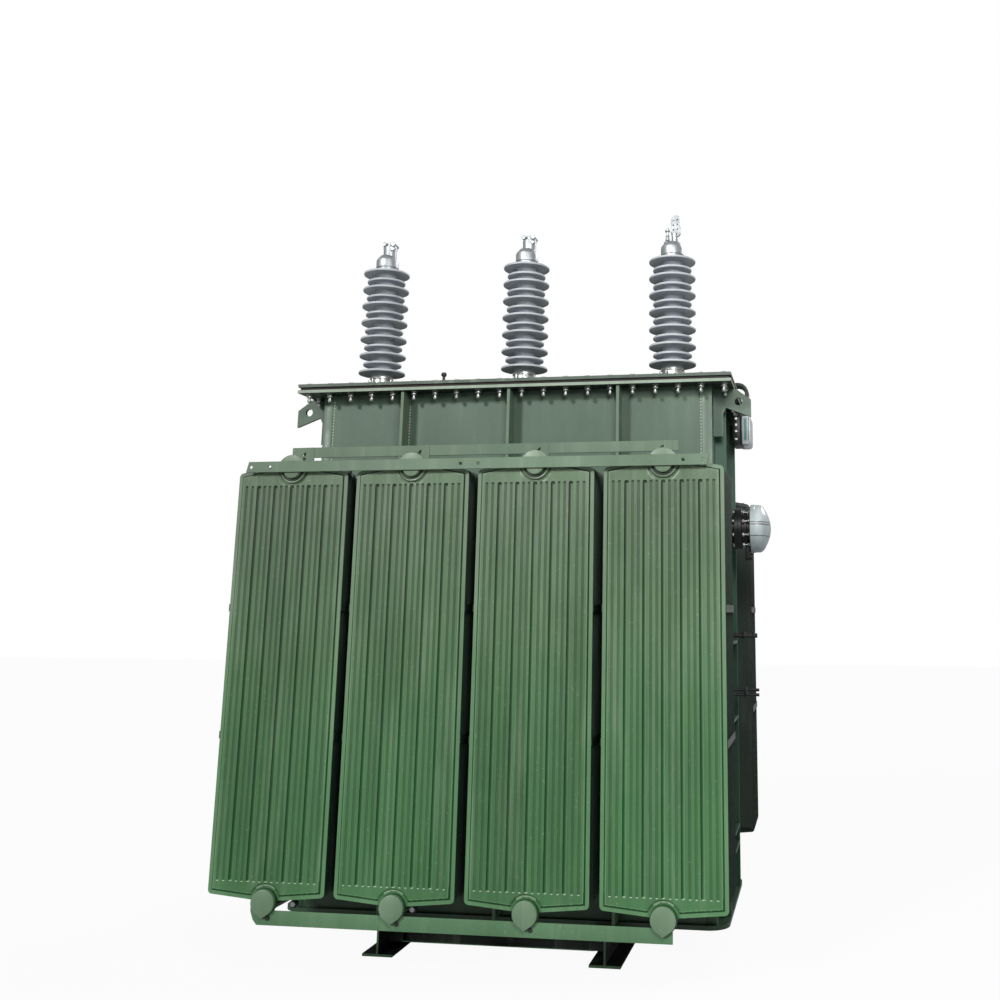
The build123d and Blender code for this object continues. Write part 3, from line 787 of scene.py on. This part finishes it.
def terminalCap(x, y):  # the cap on the insulator, with a gasket line, and a narrower neck on top
    cap, height = bushing["capRadius"], bushing["capHeight"]
    body = [(0, 0), (cap - 0.003, 0), (cap - 0.003, 0.010), (cap - 0.006, 0.012), (cap - 0.006, 0.015), (cap, 0.017),
            (cap, height - 0.018), (cap - 0.002, height - 0.012), (cap - 0.02, height + 0.012),
            (cap - 0.026, height + 0.014), (0, height + 0.014)]
    return lathe(body, (x, y, insulatorTop), steps=48)


def clampTop(x, y):  # a round stud with a split clamp and two cross bolts
    top = insulatorTop + bushing["capHeight"]
    x += clamp["shift"]
    halfX, halfY = clamp["jaw"]
    bm = rod(clamp["studRadius"], (x, y, top - 0.022), 0.088, steps=32, edge=0.003)
    add(bm, rod(clamp["neckRadius"], (x, y, top + 0.06), 0.03, steps=24, edge=0.003))
    for side in (-1, 1):
        bolt = x + side * clamp["boltSpacing"]
        add(bm, rod(clamp["boltRadius"], (bolt, y - clamp["boltLength"] / 2, top + 0.077), clamp["boltLength"],
                    toRear, 20, 0.002))
        add(bm, block((bolt - halfX, y - halfY, top + 0.05), (bolt + halfX, y + halfY, top + 0.075), 0.002))
    add(bm, hexPrism(0.018, 0.01, (x + 0.027, y - 0.036, top + 0.045), toRear))
    return bm


def palmTop(x, y):  # a flat palm with bolt holes on a stem, beside a bolt with stacked nuts
    top = insulatorTop + bushing["capHeight"]
    bm = rod(palm["stemRadius"], (x + 0.014, y, top - 0.002), 0.07, steps=24, edge=0.002)
    half, low, chamfer, bend = palm["half"], palm["low"], palm["chamfer"], palm["high"] - palm["half"]
    outline = [(-half, low + chamfer), (-half + chamfer, low), (half - chamfer, low), (half, low + chamfer)]
    outline += [(half, bend), *arcLoop(0, bend, half, 18, 18, 9), (-half, bend)]
    holes = [arcLoop(*hole, palm["holeRadius"], 0, 30, 12) for hole in palm["holes"]]
    shape = plate(outline, -palm["thickness"] / 2, palm["thickness"], 0.0015, holes)
    turned = Matrix.Translation((x + palm["shift"], y, top)) @ Matrix.Rotation(math.radians(palm["turn"]), 4, "Z")
    bmesh.ops.transform(shape, matrix=turned, verts=shape.verts)
    add(bm, shape)
    bolt = (x + palm["boltShift"], y - 0.01, top - 0.004)
    add(bm, rod(0.006, bolt, 0.1, steps=12))
    add(bm, rod(0.02, bolt, 0.022, steps=24, edge=0.004))
    for width, height, rise in palm["nuts"]:
        add(bm, hexPrism(width, height, (bolt[0], bolt[1], top + rise)))
    return bm


bm = bmesh.new()
for number, (x, y) in enumerate(bushing["places"]):
    add(bm, terminalCap(x, y))
    add(bm, palmTop(x, y) if number == 2 else clampTop(x, y))
finish("bushingTerminals", bm, [aluminium], ["bushing_terminals"])
print("bushings ready")


coverBolts = {"rowX": (20, 0.1152, 0.002), "lineX": 1.092, "rowY": (8, 0.117, 0.0), "lineY": 0.53,
              "top": 2.731, "under": 2.684, "width": 0.028, "washer": 0.018, "nut": 0.017,
              "stud": [(0, 0), (0.0065, 0), (0.0065, -0.006), (0.0105, -0.009), (0.0105, -0.02), (0.008, -0.024),
                       (0, -0.024)]}
flangeEdge = {"halfX": 1.1358, "halfY": 0.5808, "width": 0.0012, "setBack": 0.0, "low": 2.6848, "high": 2.6995}
seal = {"halfX": 1.125, "halfY": 0.57, "width": 0.02, "setBack": 0.02, "low": 2.7002, "high": 2.7148}


def rowPlaces(count, pitch, shift):
    return [(number - (count - 1) / 2) * pitch + shift for number in range(count)]


def coverBolt(x, y):
    top, under, width = coverBolts["top"], coverBolts["under"], coverBolts["width"]
    bm = hexPrism(width, 0.009, (x, y, top + 0.0065), edge=0.0012)
    add(bm, rod(coverBolts["washer"] - 0.0005, (x, y, top - 0.0005), 0.003, edge=0.0005))
    add(bm, rod(coverBolts["washer"], (x, y, under - 0.003), 0.0035, edge=0.0005))
    add(bm, hexPrism(width, coverBolts["nut"], (x, y, under - 0.011), edge=0.003))
    add(bm, lathe(coverBolts["stud"], (x, y, under - 0.0195), steps=12))
    return bm


def barFrame(sizes):  # four bars round the cover, the short ones set back from its long sides
    low, high, halfX, halfY = sizes["low"], sizes["high"], sizes["halfX"], sizes["halfY"]
    endY = halfY - sizes["setBack"]
    bm = bmesh.new()
    for side in (-1, 1):
        near, far = sorted((side * halfY, side * (halfY - sizes["width"])))
        add(bm, block((-halfX, near, low), (halfX, far, high)))
        near, far = sorted((side * halfX, side * (halfX - sizes["width"])))
        add(bm, block((near, -endY, low), (far, endY, high)))
    return bm


bm = bmesh.new()
for side in (-1, 1):
    for x in rowPlaces(*coverBolts["rowX"]):
        add(bm, coverBolt(x, side * coverBolts["lineY"]))
    for y in rowPlaces(*coverBolts["rowY"]):
        add(bm, coverBolt(side * coverBolts["lineX"], y))
finish("coverBolts", bm, [zinc])
# a light strip round the flange's front edge: painted highlight on the lit edge
finish("flangeEdges", barFrame(flangeEdge), [flangeHighlightPaint], smooth=False)
finish("coverSeal", barFrame(seal), [brownGasket], smooth=False)

welds = {"lines": [-0.974, -0.554, 0.975], "low": 0.2, "high": 2.665, "step": 0.016, "wall": -0.4755,
         "bead": (0.0045, 0.003, 0.0066),
         "strips": [((-1.03, -0.4772, 0.166), (-0.981, -0.474, 2.6835)),
                    ((0.981, -0.4772, 0.166), (1.03, -0.474, 2.6835))]}
bead = bmesh.new()
bmesh.ops.create_icosphere(bead, subdivisions=1, radius=1.0, matrix=Matrix.Diagonal((*welds["bead"], 1)))
beadMesh = bpy.data.meshes.new("bead")
bead.to_mesh(beadMesh)
bead.free()
bm = bmesh.new()
for x in welds["lines"]:
    for number in range(int((welds["high"] - welds["low"]) / welds["step"])):
        first = len(bm.verts)
        bm.from_mesh(beadMesh)
        bm.verts.ensure_lookup_table()
        bmesh.ops.translate(bm, verts=bm.verts[first:], vec=(x, welds["wall"], welds["low"] + number * welds["step"]))
for low, high in welds["strips"]:
    add(bm, block(low, high, 0.0008), 1)
finish("weldLines", withRear(bm), [wornAndHighlightPaint, tankPaint])
bpy.data.meshes.remove(beadMesh)
print("welds and bolts ready")


relief = {
    "wall": 1.03,
    "joint": 1.124,
    "seat": 1.187,
    "height": 2.0,
    "domeRadius": 0.127,
    "flangeRadius": 0.106,
    "pipeRadius": 0.075,
    "bodyRadius": 0.085,
    "boltCircle": 0.091,
    "bands": [(2.022, 0.0035, 1), (2.0285, 0.0012, 2), (2.0155, 0.0012, 2), (1.957, 0.001, 2)],  # height, half, look
    "latch": ((1.27, -0.012, 2.0), (1.289, 0.004, 2.014)),
    "spout": ((1.157, -0.022, 1.845), (1.183, 0.022, 1.93)),
    "plug": (1.157, 0, 1.853),
}
reliefHeight, domeRadius = relief["height"], relief["domeRadius"]
domeSeat = (relief["seat"], 0, reliefHeight)
domeProfile = [(0, 0), (domeRadius - 0.004, 0)]
domeProfile += [(domeRadius - inset, rise) for inset, rise in (
    (0, 0.003), (0, 0.022), (0.002, 0.024), (0.002, 0.048), (0.006, 0.058), (0.014, 0.067), (0.026, 0.075),
    (0.042, 0.083), (0.058, 0.0905), (0.075, 0.097), (0.095, 0.102))]
bm = lathe(domeProfile + [(0.014, 0.105), (0, 0.106)], domeSeat, toRight, 56)
for height, half, bandLook in relief["bands"]:  # a thin skin over the dome, cut to a band
    skin = [(radius + 0.002, rise) for radius, rise in domeProfile[1:]] + [(0.0, 0.1055)]
    band = lathe(skin, domeSeat, toRight, 56)
    for side in (-1, 1):
        bmesh.ops.bisect_plane(band, geom=band.verts[:] + band.edges[:] + band.faces[:],
                               plane_co=(0, 0, height + side * half), plane_no=(0, 0, side), clear_outer=True)
    add(bm, band, bandLook)
add(bm, block(*relief["latch"], 0.002), 2)
finish("reliefHood", bm, [greyPaint, insulatorRim, darkPaint], ["relief_dome"])

neck, flange, pipe = relief["joint"] - relief["wall"], relief["flangeRadius"], relief["pipeRadius"]
profile = [(0, 0), (pipe, 0), (pipe, neck - 0.02), (flange - 0.002, neck - 0.02), (flange, neck - 0.018),
           (flange, neck - 0.001), (flange - 0.001, neck), (0, neck)]
bm = lathe(profile, (relief["wall"], 0, reliefHeight), toRight, 40)
for up, side in boltCircle(relief["boltCircle"]):
    add(bm, hexPrism(0.02, 0.012, (relief["joint"] - 0.025, side, reliefHeight + up), toRight), 1)
finish("reliefPipe", bm, [darkPaint, zinc], ["relief_pipe"])

depth, body, joint = relief["seat"] - relief["joint"], relief["bodyRadius"], relief["joint"]
profile = [(0, 0), (flange - 0.001, 0), (flange, 0.001), (flange, 0.018), (flange - 0.002, 0.02),
           (body - 0.008, 0.021), (body - 0.008, 0.03), (body, 0.032), (body, 0.042), (body - 0.01, 0.045),
           (body - 0.01, depth), (0, depth)]
bm = lathe(profile, (joint, 0, reliefHeight), toRight, 40)
add(bm, block(*relief["spout"], 0.004), 0)
add(bm, rod(0.018, relief["plug"], 0.038, toRight, 20, 0.002), 0)
for up, side in boltCircle(relief["boltCircle"]):
    add(bm, hexPrism(0.02, 0.012, (joint + 0.026, side, reliefHeight + up), toRight), 1)
    add(bm, rod(0.0055, (joint + 0.03, side, reliefHeight + up), 0.033, toRight, 10), 1)
    add(bm, hexPrism(0.018, 0.009, (joint + 0.055, side, reliefHeight + up), toRight), 1)
finish("reliefBody", bm, [darkPaint, zinc], ["relief_body"])


gauge = {"base": 1.085, "joint": 1.141, "face": 1.186, "low": 2.475, "high": 2.633, "front": 0.1305, "rear": 0.3455,
         "step": 0.012, "screws": (0.028, 0.072, 0.108, 0.142), "corners": (0.004, 0.02, 0.01, 0.003),
         "windows": [((0.009, 0.022), (0.022, -0.016), 0.003, 0.0012),  # from two corners of the box, radius, relief
                     ((0.003, 0.012), (0.029, -0.008), 0.004, 0.0006)]}
base, joint, face, low, high = (gauge[k] for k in ("base", "joint", "face", "low", "high"))
front, rear, step = gauge["front"], gauge["rear"], gauge["joint"] - gauge["step"]
bm = block((base, front, low + 0.004), (step, rear, high - 0.002), 0.004)
add(bm, block((step, front + 0.004, low), (joint, rear - 0.004, high), 0.003), 0)
for rise in gauge["screws"]:
    add(bm, hexPrism(0.015, 0.012, (base + 0.022, front - 0.002, low + rise), toRear), 1)
finish("gaugeFoot", bm, [darkPaint, zinc], ["gauge_base"])

bm = plate(cornerLoop((joint - 0.002, low), (face, high), gauge["corners"]), front, rear - front, 0.003)
for number, ((nearX, nearZ), (farX, farZ), corner, proud) in enumerate(gauge["windows"], start=1):
    window = cornerLoop((joint + nearX, low + nearZ), (joint + farX, high + farZ), (corner,) * 4)
    add(bm, plate(window, front - proud, 0.003), number)
add(bm, block((face - 0.012, front - 0.0008, low + 0.014), (face - 0.009, front + 0.02, high - 0.008)), 3)
finish("gaugeHousing", bm, [greyPaint, tealWindow, insulatorRim, darkPaint], ["gauge_box"])

tubes = {"places": [0.202, 0.238, 0.274], "start": 1.05, "end": 1.1635, "foot": 2.731, "top": 2.836, "seat": 2.633,
         "bend": 0.05, "radius": 0.0115, "ridge": 0.0015, "ringStep": 0.0045, "sides": 12, "ferrule": 0.016}


def tubeRoute(y):
    start, end, bend = tubes["start"], tubes["end"], tubes["bend"]
    level = tubes["top"] - tubes["radius"] - bend
    points = [Vector((start, y, tubes["foot"]))]
    for x, first in ((start + bend, 180), (end - bend, 90)):
        points += [Vector((arcX, y, arcZ)) for arcX, arcZ in arcLoop(x, level, bend, first, -9, 11)]
    return points + [Vector((end, y, tubes["seat"]))]


def ribbedTube(y):  # rings of two sizes take turns along the route
    route, sides, dense = tubeRoute(y), tubes["sides"], []
    for first, second in zip(route, route[1:]):
        count = max(1, round((second - first).length / tubes["ringStep"]))
        dense += [first.lerp(second, k / count) for k in range(count)]
    dense.append(route[-1])
    bm = bmesh.new()
    edges = []
    for number, point in enumerate(dense):
        ahead = dense[min(number + 1, len(dense) - 1)] - dense[max(number - 1, 0)]
        across = Vector((0, 1, 0))
        up = ahead.normalized().cross(across)
        radius = tubes["radius"] - (tubes["ridge"] if number % 2 else 0.0)
        ring = [bm.verts.new(point + side * across + rise * up)
                for side, rise in arcLoop(0, 0, radius, 0, 360 / sides, sides)]
        edges.append([bm.edges.new((ring[k], ring[(k + 1) % sides])) for k in range(sides)])
    for first, second in zip(edges, edges[1:]):
        bmesh.ops.bridge_loops(bm, edges=first + second)
    for end in (edges[0], edges[-1]):
        bmesh.ops.edgeloop_fill(bm, edges=end)
    bmesh.ops.recalc_face_normals(bm, faces=bm.faces)
    return bm


bm = bmesh.new()
for y in tubes["places"]:
    add(bm, ribbedTube(y), 0)
    add(bm, rod(tubes["ferrule"], (tubes["start"], y, tubes["foot"]), 0.02, steps=20), 1)
    add(bm, rod(tubes["ferrule"], (tubes["end"], y, tubes["seat"] - 0.002), 0.018, steps=20), 1)
finish("gaugeTubes", bm, [tubePaint, darkPaint], ["gauge_conduits"])

ventKnob = {"place": (-0.355, -0.54, 2.731),
            "profile": [(0, 0), (0.018, 0), (0.018, 0.005), (0.0075, 0.008), (0.007, 0.026), (0.0125, 0.029),
                        (0.0145, 0.036), (0.013, 0.044), (0.008, 0.048), (0, 0.049)]}
bm = lathe(ventKnob["profile"], ventKnob["place"], steps=24)
finish("ventKnob", bm, [darkPaint], ["vent_plug"])

valves = {"wall": 1.03, "y": 0.1, "height": 1.446, "radius": 0.012, "length": 0.175,
          "nuts": ((0.034, 0.02, 1.135), (0.028, 0.014, 1.185)),
          "twinY": 0.15, "twinHeights": (1.14, 1.165), "twinRadius": 0.008, "twinLength": 0.178,
          "tie": ((1.13, 0.135, 1.128), (1.145, 0.165, 1.177))}
bm = rod(valves["radius"], (valves["wall"], valves["y"], valves["height"]), valves["length"], toRight, 16)
for width, height, x in valves["nuts"]:
    add(bm, hexPrism(width, height, (x, valves["y"], valves["height"]), toRight, edge=0.002))
for height in valves["twinHeights"]:
    add(bm, rod(valves["twinRadius"], (valves["wall"], valves["twinY"], height), valves["twinLength"], toRight, 12))
add(bm, block(*valves["tie"], 0.003))
finish("endValves", bm, [darkPaint])

skid = {"places": (-0.536, 0.536), "web": 0.0045, "half": 0.0725, "thick": 0.012, "top": 0.145, "sole": 0.0005,
        "end": -0.6212, "cover": 0.0012, "lip": ((-0.463, -0.4885, 0.0325), (0.463, -0.487, 0.037)),
        "beamEnds": (0.4625, 0.5315), "beamY": (-0.4875, -0.4755), "beamZ": (0.0335, 0.1325)}
web, half, thick, top, sole = (skid[k] for k in ("web", "half", "thick", "top", "sole"))
right = [(half, sole), (half, thick), (web, thick), (web, top - thick), (half, top - thick), (half, top)]
section = [(-half, sole), *right, *[(-x, z) for x, z in reversed(right[1:])]]
bm = bmesh.new()
for place in skid["places"]:
    add(bm, plate([(place + x, z) for x, z in section], skid["end"], skid["cover"]))
# a light strip along the lower flange edge of the cross beam: painted highlight
add(bm, block(*skid["lip"]))
for side in (-1, 1):
    near, far = sorted(side * x for x in skid["beamEnds"])
    (front, back), (low, high) = skid["beamY"], skid["beamZ"]
    add(bm, block((near, front, low), (far, back, high)), 1)
finish("skidEnds", withRear(bm), [barPaint, basePaint], smooth=False)
print("fittings ready")


paintOf = {"tank_paint": tankPaint, "radiator_paint": radiatorPaint, "base_paint": basePaint,
           "insulator": insulatorGrey, "terminal_metal": aluminium, "grey_fitting": greyPaint,
           "dark_fitting": darkPaint}
# the fin straps and radiator pipes take the dark fin paint: painted shade
paintOfNode = {"tank_cover": coverPaint, "fin_straps": finShadePaint, "radiator_pipes": finShadePaint, "tie_bar_lugs": barPaint}
for side in ("front", "rear"):
    paintOfNode.update({f"tank_flange_{side}": shadePaint, f"{side}_stiffeners": barPaint})
# the end walls, their stiffeners and ribs take the darker end paint: painted shade
for side in ("left", "right"):
    paintOfNode.update({f"tank_flange_{side}": shadePaint, f"tank_{side}_wall": endShadePaint,
                        f"{side}_stiffeners": endShadePaint, f"{side}_end_ribs": endShadePaint})
for entry in frame["record"]["subparts"]:
    node = frame["nodes"][entry["node"]]
    node.data.materials.clear()
    node.data.materials.append(paintOfNode.get(entry["node"], paintOf[entry["material_slot"]]))
print("plain pieces painted")


studio = {"floorSize": 30.0, "floorGrey": 0.6, "floorWhite": 0.945, "worldLevel": 0.26, "worldShine": 0.42}
lamps = {  # kind, place, target, energy, angle in degrees or size
    "keySoft": ("SUN", (-4.4, -8.7, 5.6), (0, 0, 1.0), 1.93, 8),
    "rearSoft": ("SUN", (5.0, 7.0, 6.0), (0, 0, 1.0), 1.3, 20),
    "sideSoft": ("AREA", (1.9, -4.4, 3.9), (0.7, 0, 1.5), 132, 1.4),
}
view = {"place": (1.539, -5.914, 1.559), "yaw": 8.82, "pitch": 11.78, "roll": -0.15, "focal": 1105.0,
        "middle": (646.0, 383.0), "picture": 1000, "sensor": 36.0}


def makeStage():
    bm = bmesh.new()
    bmesh.ops.create_grid(bm, x_segments=1, y_segments=1, size=studio["floorSize"])
    mesh = bpy.data.meshes.new("floor")
    bm.to_mesh(mesh)
    bm.free()
    floor = newObject("floor", mesh)
    material, tree, shader = startMaterial("paleFloor")
    grey = studio["floorGrey"]
    feedAll(tree, shader, Base_Color=(grey, grey, grey, 1), Roughness=0.9, Specular_IOR_Level=0.1)
    glow = addNode(tree, "Emission", Color=(1, 1, 1, 1))
    path = addNode(tree, "LightPath")
    share = mathNode(tree, "MULTIPLY", path.outputs["Is Camera Ray"], studio["floorWhite"])
    blend = addNode(tree, "MixShader", Fac=share)
    tree.links.new(shader.outputs["BSDF"], blend.inputs[1])
    tree.links.new(glow.outputs["Emission"], blend.inputs[2])
    output = [n for n in tree.nodes if n.type == "OUTPUT_MATERIAL"][0]
    tree.links.new(blend.outputs[0], output.inputs["Surface"])
    mesh.materials.append(material)


def makeWorld(level, shine):  # white to the camera, dimmer as light and in reflections
    world = bpy.data.worlds.new("studio")
    bpy.context.scene.world = world
    world.use_nodes = True
    tree = world.node_tree
    back = tree.nodes["Background"]
    back.inputs["Color"].default_value = (1, 1, 1, 1)
    path = addNode(tree, "LightPath")
    strength = rangeNode(tree, path.outputs["Is Glossy Ray"], 0.0, 1.0, level, shine)
    strength = mathNode(tree, "MAXIMUM", strength, path.outputs["Is Camera Ray"])
    tree.links.new(strength, back.inputs["Strength"])


def addLamp(name, kind, place, target, energy, spread):
    data = bpy.data.lights.new(name, kind)
    data.energy = energy
    if kind == "SUN":
        data.angle = math.radians(spread)
    else:
        data.size = spread
    lamp = newObject(name, data)
    lamp.location = place
    lamp.rotation_euler = (Vector(target) - Vector(place)).to_track_quat("-Z", "Y").to_euler()


def makeCamera():
    picture, middle = view["picture"], view["middle"]
    data = bpy.data.cameras.new("photoCamera")
    data.sensor_width = view["sensor"]
    data.sensor_fit = "HORIZONTAL"
    data.lens = view["sensor"] * view["focal"] / picture
    data.shift_x = -(middle[0] - picture / 2) / picture
    data.shift_y = (middle[1] - picture / 2) / picture
    camera = newObject("photoCamera", data)
    yaw, pitch, roll = (math.radians(view[k]) for k in ("yaw", "pitch", "roll"))
    turn = Matrix.Rotation(yaw, 4, "Z") @ Matrix.Rotation(math.pi / 2 + pitch, 4, "X")
    camera.matrix_world = Matrix.Translation(view["place"]) @ (turn @ Matrix.Rotation(-roll, 4, "Z"))
    bpy.context.scene.camera = camera


makeStage()
makeWorld(studio["worldLevel"], studio["worldShine"])
for name, lamp in lamps.items():
    addLamp(name, *lamp)
makeCamera()
bpy.context.scene.view_settings.view_transform = "Standard"
print("stage ready")
